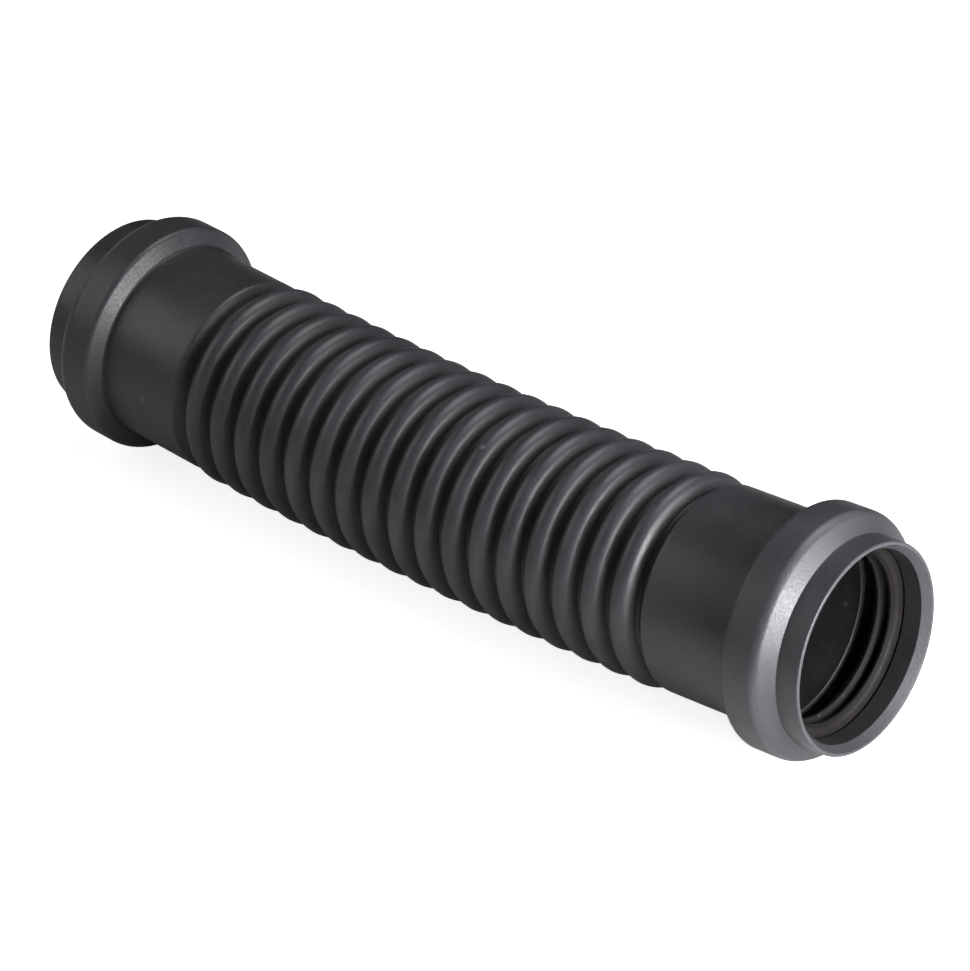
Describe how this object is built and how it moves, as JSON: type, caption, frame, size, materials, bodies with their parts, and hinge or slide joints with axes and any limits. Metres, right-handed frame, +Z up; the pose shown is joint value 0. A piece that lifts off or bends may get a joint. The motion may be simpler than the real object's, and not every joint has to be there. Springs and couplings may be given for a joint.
{
  "type": "flexible waste connector",
  "caption": "Black push-fit waste connector with a folded flexible middle and a rubber-sealed socket at each end, slightly bent.",
  "frame": {"origin": "on the floor that the connector lies on, under the middle of its box", "axes": "+X along the connector towards its right socket, +Z up"},
  "size_m": [0.2652, 0.0654, 0.0651],
  "materials": {
    "black_plastic": "moulded black polypropylene, satin",
    "seal_rubber": "dark brown-grey rubber, matt"
  },
  "bodies": {
    "root": {"connector_body": "black_plastic", "seal_left": "seal_rubber", "seal_right": "seal_rubber"}
  },
  "joints": []
}
